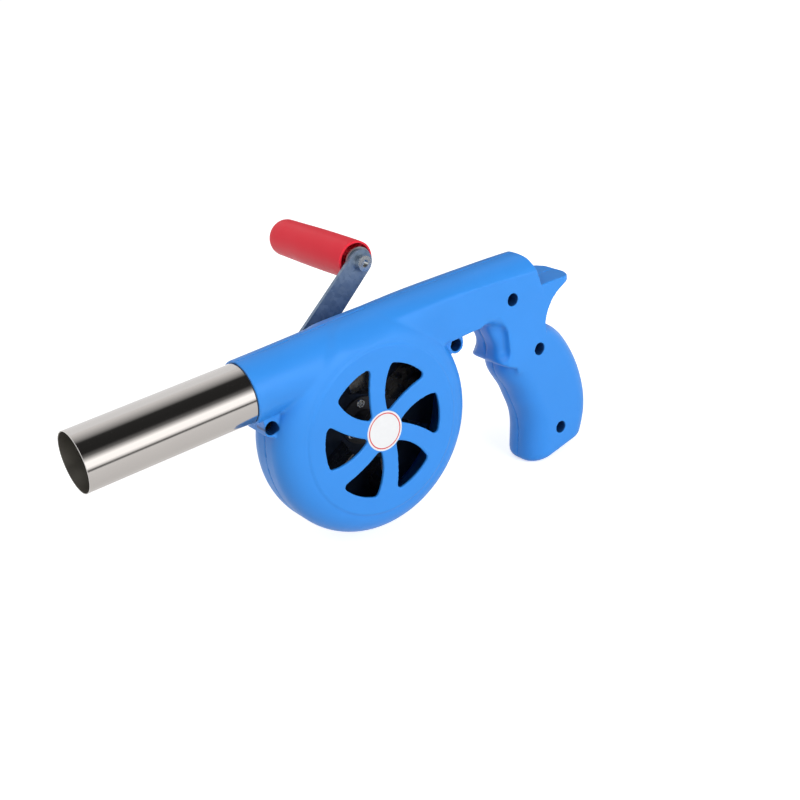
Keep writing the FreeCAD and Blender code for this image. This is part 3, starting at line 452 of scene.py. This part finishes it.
def plated(name, base, roughness, metallic=1.0):
    material, tree, shader = new_material(name, base, roughness, metallic)
    cloud = use_group(tree, MOTTLE, {"Colour": (*base, 1), "Scale": 300.0, "Depth": 0.06})
    tree.links.new(cloud.outputs["Colour"], shader.inputs["Base Color"])
    give_skin(tree, shader, 900.0, roughness, 0.08, 0.08, 0.00005)
    return material


def label_paper():
    """Plain white label with a thin red line near its edge."""
    material, tree, shader = new_material("label_paper", (0.82, 0.82, 0.82), 0.35)
    where = add(tree, "ShaderNodeTexCoord")
    part = add(tree, "ShaderNodeSeparateXYZ", {0: where.outputs["Object"]})
    across = maths(tree, "SUBTRACT", part.outputs[0], FAN_X)
    level = maths(tree, "SUBTRACT", part.outputs[2], FAN_Z)
    away = maths(tree, "SQRT", maths(tree, "ADD", maths(tree, "MULTIPLY", across, across),
                                     maths(tree, "MULTIPLY", level, level)))
    beside = maths(tree, "ABSOLUTE", maths(tree, "SUBTRACT", away, LABEL_LINE_RADIUS))
    line = span(tree, beside, 0.26 * MM, 0.36 * MM, 1.0, 0.0)
    paper = use_group(tree, MOTTLE, {"Colour": (*LABEL_WHITE, 1), "Scale": 400.0, "Depth": 0.02})
    tree.links.new(blend(tree, line, paper.outputs["Colour"], (*LABEL_LINE, 1)),
                   shader.inputs["Base Color"])
    return material


def dress(names, material):
    for name in names:
        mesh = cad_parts[name].data
        mesh.materials.clear()
        mesh.materials.append(material)


# Refined pieces

# How finely the shells are meshed, how often they are smoothed and the share of faces kept
SKIN_STEP = 0.5 * MM
EDGE_ROUNDS = 4
HAND_ROUNDS = 130
KEPT_SHARE = 0.45

def evaluated_mesh(piece):
    bpy.context.view_layer.update()
    graph = bpy.context.evaluated_depsgraph_get()
    return bpy.data.meshes.new_from_object(piece.evaluated_get(graph))


def settle(piece, mesh, material, body, *nodes):
    """Puts the finished mesh on its piece, hangs it on its body and hides the CAD parts it stands
    in for.
    """
    piece.modifiers.clear()
    piece.data = mesh
    mesh.materials.clear()
    mesh.materials.append(material)
    mesh.shade_smooth()
    print(piece.name, sum(len(face.vertices) - 2 for face in mesh.polygons), "triangles")
    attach(piece, body)
    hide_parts(*nodes)
    return piece


def settle_flat(piece, mesh, body, *nodes):
    """As settle, for a mesh with crisp corners that already has its finish."""
    piece.data = mesh
    mesh.shade_smooth()
    mesh.set_sharp_from_angle(angle=math.radians(35))
    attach(piece, body)
    if nodes:
        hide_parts(*nodes)


def fade(value, low, high):
    """0 below low, 1 above high, and a smooth rise between."""
    t = numpy.clip((value - low) / (high - low), 0.0, 1.0)
    return t * t * (3 - 2 * t)


def spare_screws(strength, x, z, near, far):
    """Leaves the strength as it is away from the screw recesses and takes it away round them."""
    for screw_x, screw_z in SCREWS:
        strength = strength * fade(numpy.hypot(x - screw_x / MM, z - screw_z / MM), near, far)
    return strength


def hand_softness(x, y, z):
    """How strongly each point of a shell is rounded, 1 for the trigger's finger rest.

    The places and distances are in millimetres.
    """
    half = abs(y)
    # The trigger, from its lip back to where its scoops end
    front = numpy.maximum(fade(x, 219, 222), fade(x, 213.5, 216) * fade(-z, 26, 30))
    trigger = front * fade(-x, -252, -246) * fade(z, -56, -50) * fade(-z, 8.5, 11.5)
    trigger = trigger * (1 - 0.86 * fade(x, 231, 235))
    # The chin below it, where the grip starts
    away = numpy.sqrt((x - 249) ** 2 + (half - 12) ** 2 + (z + 46.5) ** 2)
    chin = spare_screws(0.9 * fade(-away, -12, -6), x, z, 5.5, 7.0)
    # The hollow where the drum runs up into the barrel
    away = numpy.hypot(x - FAN_X / MM, z - FAN_Z / MM)
    cheek = 0.22 * fade(away, 46, 49) * fade(half, 2.5, 5)
    cheek = cheek * fade(-x, -215, -205) * fade(z, -34, -26)
    cheek = spare_screws(cheek, x, z, 7.5, 9.5) * fade(x, 90, 96)
    return numpy.maximum(numpy.maximum(trigger, chin), cheek)


def round_by_hand(mesh, rounds):
    """Relaxes the points where the moulding is well rounded.

    The skin takes no notice of the face where the shells meet, and that face follows the skin
    without leaving its plane, so the two halves stay one form.
    """
    count = len(mesh.vertices)
    points = numpy.empty(count * 3)
    mesh.vertices.foreach_get("co", points)
    points = points.reshape(-1, 3) / MM
    softness = hand_softness(points[:, 0], points[:, 1], points[:, 2])
    normals = numpy.empty(count * 3)
    mesh.vertices.foreach_get("normal", normals)
    normals = normals.reshape(-1, 3)
    meeting = (abs(points[:, 1]) < 0.45) & (abs(normals[:, 1]) > 0.8)
    ends = numpy.empty(len(mesh.edges) * 2, dtype=numpy.int32)
    mesh.edges.foreach_get("vertices", ends)
    ends = ends.reshape(-1, 2)
    near = softness > 0.001
    ends = ends[near[ends[:, 0]] | near[ends[:, 1]]]
    used, renumbered = numpy.unique(ends, return_inverse=True)
    renumbered = renumbered.reshape(-1, 2)
    size = len(used)
    first = numpy.concatenate([renumbered[:, 0], renumbered[:, 1]])
    second = numpy.concatenate([renumbered[:, 1], renumbered[:, 0]])
    local_meeting = meeting[used]
    heeded = local_meeting[first] | ~local_meeting[second]
    first = first[heeded]
    second = second[heeded]
    neighbours = numpy.maximum(numpy.bincount(first, minlength=size), 1)
    local = points[used]
    pull = (0.5 * softness[used])[:, None] * numpy.ones(3)
    pull[abs(local[:, 1]) < 0.6, 1] = 0
    for _ in range(rounds):
        mean = numpy.stack([numpy.bincount(first, weights=local[second, axis], minlength=size)
                            for axis in range(3)], axis=1) / neighbours[:, None]
        local = local + pull * (mean - local)
    points[used] = local
    mesh.vertices.foreach_set("co", (points * MM).ravel())
    mesh.update()


def soften(node, name, body, material):
    """A moulded version of a CAD solid: the same form with every edge lightly rounded."""
    piece = bpy.data.objects.new(name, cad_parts[node].data.copy())
    scene.collection.objects.link(piece)
    weld = piece.modifiers.new("weld", "WELD")
    weld.merge_threshold = 1e-6
    remesh = piece.modifiers.new("remesh", "REMESH")
    remesh.mode = "VOXEL"
    remesh.voxel_size = SKIN_STEP
    smooth = piece.modifiers.new("smooth", "SMOOTH")
    smooth.factor = 0.5
    smooth.iterations = EDGE_ROUNDS
    dense = evaluated_mesh(piece)
    piece.modifiers.clear()
    round_by_hand(dense, HAND_ROUNDS)
    piece.data = dense
    thin = piece.modifiers.new("thin", "DECIMATE")
    thin.ratio = KEPT_SHARE
    return settle(piece, evaluated_mesh(piece), material, body, node)


def turned(name, outline, centre, axis, steps, material, body, node):
    """Piece turned on a lathe: outline gives radius and distance along the axis, in millimetres."""
    form = bmesh.new()
    rings = []
    for radius, along in outline:
        ring = []
        for k in range(steps if radius else 1):
            angle = 2 * math.pi * k / steps
            across = radius * math.cos(angle)
            up = radius * math.sin(angle)
            place = (along, across, up) if axis == "X" else (across, along, up)
            ring.append(form.verts.new(Vector(place) * MM + Vector(centre)))
        rings.append(ring)
    for one, two in zip(rings, rings[1:]):
        for k in range(steps):
            corners = [one[k % len(one)], one[(k + 1) % len(one)], two[(k + 1) % len(two)],
                       two[k % len(two)]]
            corners = list(dict.fromkeys(corners))
            if len(corners) > 2:
                form.faces.new(corners)
    bmesh.ops.remove_doubles(form, verts=form.verts, dist=1e-7)
    bmesh.ops.recalc_face_normals(form, faces=form.faces)
    mesh = bpy.data.meshes.new(name)
    form.to_mesh(mesh)
    form.free()
    piece = bpy.data.objects.new(name, mesh)
    scene.collection.objects.link(piece)
    settle(piece, mesh, material, body, node)
    mesh.set_sharp_from_angle(angle=math.radians(38))
    return piece


def socket_key(tree, label):
    for item in tree.interface.items_tree:
        if item.name == label and item.in_out == "INPUT":
            return item.identifier
    raise KeyError(label)


def grow(name, points, tree, sizes):
    """Runs a node tree on a few points and gives its result as a plain mesh."""
    mesh = bpy.data.meshes.new(name)
    mesh.from_pydata([tuple(point) for point in points], [], [])
    piece = bpy.data.objects.new(name, mesh)
    scene.collection.objects.link(piece)
    maker = piece.modifiers.new("maker", "NODES")
    maker.node_group = tree
    for label, value in sizes.items():
        maker[socket_key(tree, label)] = value
    finished = evaluated_mesh(piece)
    piece.modifiers.clear()
    return piece, finished


def new_grower(name, inputs):
    """Empty geometry tree with named inputs beside its geometry."""
    sockets = [("Points", "NodeSocketGeometry", None)] + inputs
    return new_group(name, "GeometryNodeTree", sockets, [("Pieces", "NodeSocketGeometry")])


def finish_grower(tree, given, out, one, turn=None):
    """Puts one piece on every point, makes them real and gives them their finish."""
    placed = {"Points": given.outputs["Points"], "Instance": one}
    if turn is not None:
        placed["Rotation"] = turn
    many = add(tree, "GeometryNodeInstanceOnPoints", placed)
    real = add(tree, "GeometryNodeRealizeInstances", {0: many.outputs[0]})
    painted = add(tree, "GeometryNodeSetMaterial", {"Geometry": real.outputs[0],
                                                    "Material": given.outputs["Finish"]})
    tree.links.new(painted.outputs[0], out.inputs["Pieces"])


def moved(tree, shape, place, turn=(0, 0, 0)):
    return add(tree, "GeometryNodeTransform", {"Geometry": shape, "Translation": place,
                                               "Rotation": turn}).outputs[0]


def upward(tree, height):
    return add(tree, "ShaderNodeCombineXYZ", {2: height}).outputs[0]


def screw_maker():
    """Pan head screws with a cross recess, their heads towards the intake side."""
    tree, given, out = new_grower("case_screw", [
        ("Head Radius", "NodeSocketFloat", 0.0029), ("Head Height", "NodeSocketFloat", 0.002),
        ("Shank Radius", "NodeSocketFloat", 0.0015), ("Length", "NodeSocketFloat", 0.012),
        ("Recess Width", "NodeSocketFloat", 0.0007), ("Finish", "NodeSocketMaterial", None)])
    head_r = given.outputs["Head Radius"]
    head_h = given.outputs["Head Height"]
    crown_h = maths(tree, "MULTIPLY", head_h, 0.5)
    rim = add(tree, "GeometryNodeMeshCylinder", {"Vertices": 40, "Radius": head_r,
                                                 "Depth": crown_h})
    crown = add(tree, "GeometryNodeMeshCone", {"Vertices": 40, "Side Segments": 3,
                                               "Radius Top": maths(tree, "MULTIPLY", head_r, 0.72),
                                               "Radius Bottom": head_r, "Depth": crown_h})
    half = maths(tree, "MULTIPLY", crown_h, 0.5)
    low_rim = moved(tree, rim.outputs["Mesh"], upward(tree, half))
    high_crown = moved(tree, crown.outputs["Mesh"], upward(tree, crown_h))
    head = add(tree, "GeometryNodeMeshBoolean", {1: low_rim}, operation="UNION")
    tree.links.new(high_crown, head.inputs[1])
    width = given.outputs["Recess Width"]
    reach = maths(tree, "MULTIPLY", head_r, 1.17)
    bars = []
    for first, second in ((reach, width), (width, reach)):
        size = add(tree, "ShaderNodeCombineXYZ", {0: first, 1: second, 2: head_h}).outputs[0]
        bar = add(tree, "GeometryNodeMeshCube", {"Size": size})
        raised = upward(tree, maths(tree, "MULTIPLY", head_h, 1.05))
        bars.append(moved(tree, bar.outputs["Mesh"], raised))
    cut = add(tree, "GeometryNodeMeshBoolean", {0: head.outputs[0]}, operation="DIFFERENCE")
    for bar in bars:
        tree.links.new(bar, cut.inputs[1])
    shank_length = maths(tree, "SUBTRACT", given.outputs["Length"], head_h)
    shank = add(tree, "GeometryNodeMeshCylinder", {"Vertices": 24,
                                                   "Radius": given.outputs["Shank Radius"],
                                                   "Depth": shank_length})
    drop = maths(tree, "MULTIPLY", shank_length, -0.499)
    low_shank = moved(tree, shank.outputs["Mesh"], upward(tree, drop))
    whole = add(tree, "GeometryNodeJoinGeometry", {0: cut.outputs[0]})
    tree.links.new(low_shank, whole.inputs[0])
    facing = moved(tree, whole.outputs[0], (0, 0, 0), (math.radians(90), 0, 0))
    finish_grower(tree, given, out, facing)
    return tree


def rivet_maker():
    """Tubular rivets: a rounded head with an open middle, on a shank."""
    tree, given, out = new_grower("hub_rivet", [
        ("Head Radius", "NodeSocketFloat", 0.0025), ("Head Height", "NodeSocketFloat", 0.0009),
        ("Hole Radius", "NodeSocketFloat", 0.0012), ("Shank Radius", "NodeSocketFloat", 0.0014),
        ("Shank Length", "NodeSocketFloat", 0.0022), ("Finish", "NodeSocketMaterial", None)])
    head_r = given.outputs["Head Radius"]
    head_h = given.outputs["Head Height"]
    rim_width = maths(tree, "SUBTRACT", head_r, given.outputs["Hole Radius"])
    tube_r = maths(tree, "MULTIPLY", rim_width, 0.5)
    middle = maths(tree, "SUBTRACT", head_r, tube_r)
    path = add(tree, "GeometryNodeCurvePrimitiveCircle", {"Resolution": 40, "Radius": middle})
    section = add(tree, "GeometryNodeCurvePrimitiveCircle", {"Resolution": 14, "Radius": tube_r})
    roll = add(tree, "GeometryNodeCurveToMesh", {0: path.outputs[0], 1: section.outputs[0]})
    flatter = add(tree, "ShaderNodeCombineXYZ", {0: 1.0, 1: 1.0,
                                                 2: maths(tree, "DIVIDE", head_h, tube_r)})
    rolled = add(tree, "GeometryNodeTransform", {"Geometry": roll.outputs[0],
                                                 "Scale": flatter.outputs[0]})
    plug = add(tree, "GeometryNodeMeshCylinder", {"Vertices": 32,
                                                  "Radius": given.outputs["Shank Radius"],
                                                  "Depth": given.outputs["Shank Length"]})
    sunk = moved(tree, plug.outputs["Mesh"],
                 upward(tree, maths(tree, "MULTIPLY", given.outputs["Shank Length"], -0.5)))
    whole = add(tree, "GeometryNodeJoinGeometry", {0: rolled.outputs[0]})
    tree.links.new(sunk, whole.inputs[0])
    facing = moved(tree, whole.outputs[0], (0, 0, 0), (math.radians(90), 0, 0))
    finish_grower(tree, given, out, facing)
    return tree


def rib_maker():
    """Ribs round the inside of the knob's open end, each turned to face the middle."""
    tree, given, out = new_grower("knob_rib", [
        ("Reach", "NodeSocketFloat", 0.0036), ("Depth", "NodeSocketFloat", 0.0084),
        ("Thickness", "NodeSocketFloat", 0.0013), ("Centre X", "NodeSocketFloat", 0.0),
        ("Centre Z", "NodeSocketFloat", 0.0), ("Finish", "NodeSocketMaterial", None)])
    size = add(tree, "ShaderNodeCombineXYZ", {0: given.outputs["Reach"], 1: given.outputs["Depth"],
                                              2: given.outputs["Thickness"]})
    block = add(tree, "GeometryNodeMeshCube", {"Size": size.outputs[0]})
    place = add(tree, "GeometryNodeInputPosition")
    part = add(tree, "ShaderNodeSeparateXYZ", {0: place.outputs[0]})
    across = maths(tree, "SUBTRACT", part.outputs[0], given.outputs["Centre X"])
    level = maths(tree, "SUBTRACT", part.outputs[2], given.outputs["Centre Z"])
    lean = maths(tree, "MULTIPLY", maths(tree, "ARCTAN2", level, across), -1.0)
    turn = add(tree, "ShaderNodeCombineXYZ", {1: lean})
    finish_grower(tree, given, out, block.outputs["Mesh"], turn.outputs[0])
    return tree


def round_points(centre_x, y, centre_z, radius, start, count):
    points = []
    for k in range(count):
        angle = math.radians(start) + 2 * math.pi * k / count
        points.append((centre_x + radius * math.cos(angle), y, centre_z + radius * math.sin(angle)))
    return points


def arc_points(centre_r, centre_y, radius, start, end, count):
    """Points of a quarter round or less, in radius and distance along the axis."""
    points = []
    for k in range(count + 1):
        angle = math.radians(start + (end - start) * k / count)
        points.append((centre_r + radius * math.cos(angle), centre_y + radius * math.sin(angle)))
    return points


# The studio

add_camera()
add_world()
add_floor()
scene.view_settings.view_transform = "Standard"
add_lamp("key", (0.46, -1.15, 0.45), (0.15, 0, -0.03), 0.9, 0.6, 10.8, False)
add_lamp("left_fill", (-0.55, -0.30, 1.10), (0.15, 0, 0), 0.7, 0.7, 5.2, True)
add_studio_screen("front_screen", FRONT_BANDS, -1.4)
add_studio_screen("back_flag", BACK_BANDS, 0.62)

# What each piece is finished with

MOTTLE = make_mottle()
SKIN = make_skin()
RECESS_SHADE = make_recess_shade()
SPANGLE = make_spangle()

blue = case_plastic("case_blue", CASE_BLUE, 0.38)
red = moulded_plastic("knob_red", KNOB_RED, 0.45, 0.28)
tube_finish = polished_tube()
zinc = plated("bright_zinc", (0.60, 0.62, 0.63), 0.22)
dull_zinc = plated("dull_zinc", (0.34, 0.36, 0.38), 0.36)
# The impeller's back plate gets a near black navy as painted shade, standing for the dark inside of
# the case behind the windows
plate_shade_sheet = galvanised("plate_painted_shade", (0.004, 0.008, 0.020), (0.012, 0.022, 0.045), 0.5, 0.6,
                        300.0)
blade_sheet = galvanised("blade_sheet", (0.15, 0.15, 0.15), (0.46, 0.45, 0.43), 0.26, 1.0, 260.0)
arm_sheet = galvanised("arm_sheet", (0.105, 0.155, 0.235), (0.25, 0.32, 0.42), 0.42, 0.75, 520.0)
black_screw = plated("black_screw", (0.02, 0.02, 0.025), 0.4)
brass = plated("turned_brass", (0.62, 0.43, 0.19), 0.3)
nylon = moulded_plastic("dark_nylon", (0.02, 0.02, 0.024), 0.45)

dress(["front_shell", "rear_shell"], blue)
dress(["handle_knob"], red)
dress(["blast_tube"], tube_finish)
dress(["crank_arm"], arm_sheet)
dress(["impeller_back_plate"], plate_shade_sheet)
dress(["impeller_blades"], blade_sheet)
dress(["gear_plate", "gear_plate_screws", "crank_shaft", "crank_nut", "handle_pin", "handle_nut",
       "hub_rivets", "compound_shaft", "impeller_shaft"], zinc)
dress(["handle_washer"], dull_zinc)
dress(["case_screws"], black_screw)
dress(["front_bush", "rear_bush", "crank_bush", "plate_bush", "impeller_pinion"], brass)
dress(["drive_gear", "compound_gear", "impeller_hub"], nylon)
dress(["hub_label"], label_paper())

# The case

soften("front_shell", "front_moulding", "case", blue)
soften("rear_shell", "rear_moulding", "case", blue)

# The tube, with a rounded lip and its seated end drawn in. The next sizes are in millimetres

TUBE_END = TUBE_HIGH[0] / MM
TUBE_R = TUBE_RADIUS / MM
TUBE_WALL = 0.6
LIP = 0.12
DRAW_START = 84.5
DRAW_END = 84.8
DRAWN_IN = 0.3
tube_outline = [(TUBE_R - TUBE_WALL, LIP), (TUBE_R - TUBE_WALL + LIP, 0.0), (TUBE_R - LIP, 0.0),
                (TUBE_R, LIP), (TUBE_R, DRAW_START), (TUBE_R - DRAWN_IN, DRAW_END),
                (TUBE_R - DRAWN_IN, TUBE_END), (TUBE_R - DRAWN_IN - TUBE_WALL, TUBE_END),
                (TUBE_R - DRAWN_IN - TUBE_WALL, DRAW_END), (TUBE_R - TUBE_WALL, DRAW_START),
                (TUBE_R - TUBE_WALL, LIP)]
turned("tube_sheet", tube_outline, (0, 0, 0), "X", 180, tube_finish, "case", "blast_tube")

# The knob: bore and open mouth, then a slightly bellied barrel up to a round tip

MOUTH = KNOB_LOW[1] / MM + 0.9
KNOB_TIP = KNOB_HIGH[1] / MM
BORE = 2.55
BORE_END = KNOB_TIP - 13.5
MOUTH_R = 8.9
MOUTH_FLOOR = MOUTH + 11
TIP_ROUND = 6.0
knob_outline = [(0, BORE_END), (BORE, BORE_END), (BORE, MOUTH_FLOOR), (MOUTH_R, MOUTH_FLOOR),
                (MOUTH_R, MOUTH + 0.3), (9.1, MOUTH), (9.8, MOUTH), (10.15, MOUTH + 0.35),
                (10.3, MOUTH + 3), (10.42, MOUTH + 12), (10.5, MOUTH + 24), (10.48, MOUTH + 36),
                (10.35, MOUTH + 47), (10.18, MOUTH + 57)]
knob_outline += arc_points(4.1, KNOB_TIP - TIP_ROUND, TIP_ROUND, 0, 90, 10) + [(0, KNOB_TIP)]
turned("knob_moulding", knob_outline, (HANDLE_X, 0, HANDLE_Z), "Y", 96, red, "knob", "handle_knob")

rib_places = round_points(HANDLE_X, (MOUTH + 7) * MM, HANDLE_Z, 7.2 * MM, 45, 4)
ribs, ribs_mesh = grow("knob_ribs", rib_places, rib_maker(),
                       {"Reach": 3.6 * MM, "Depth": 8.2 * MM, "Thickness": 1.3 * MM,
                        "Centre X": HANDLE_X, "Centre Z": HANDLE_Z, "Finish": red})
settle_flat(ribs, ribs_mesh, "knob")

# Screws in their recesses, and the hub's rivets

screw_places = [(x, SCREW_SEAT_Y, z) for x, z in SCREWS]
screws, screws_mesh = grow("case_screw_set", screw_places, screw_maker(),
                           {"Head Radius": 2.9 * MM, "Head Height": 2.0 * MM,
                            "Shank Radius": 1.5 * MM, "Length": 12 * MM,
                            "Recess Width": 0.75 * MM, "Finish": black_screw})
settle_flat(screws, screws_mesh, "case", "case_screws")

rivet_places = round_points(FAN_X, HUB_FACE_Y - 1.5 * MM, FAN_Z, 9.4 * MM, 90, 3)
rivets, rivets_mesh = grow("rivet_set", rivet_places, rivet_maker(),
                           {"Head Radius": 2.5 * MM, "Head Height": 0.88 * MM,
                            "Hole Radius": 1.15 * MM, "Shank Radius": 1.4 * MM,
                            "Shank Length": 2.2 * MM, "Finish": zinc})
settle_flat(rivets, rivets_mesh, "impeller", "hub_rivets")
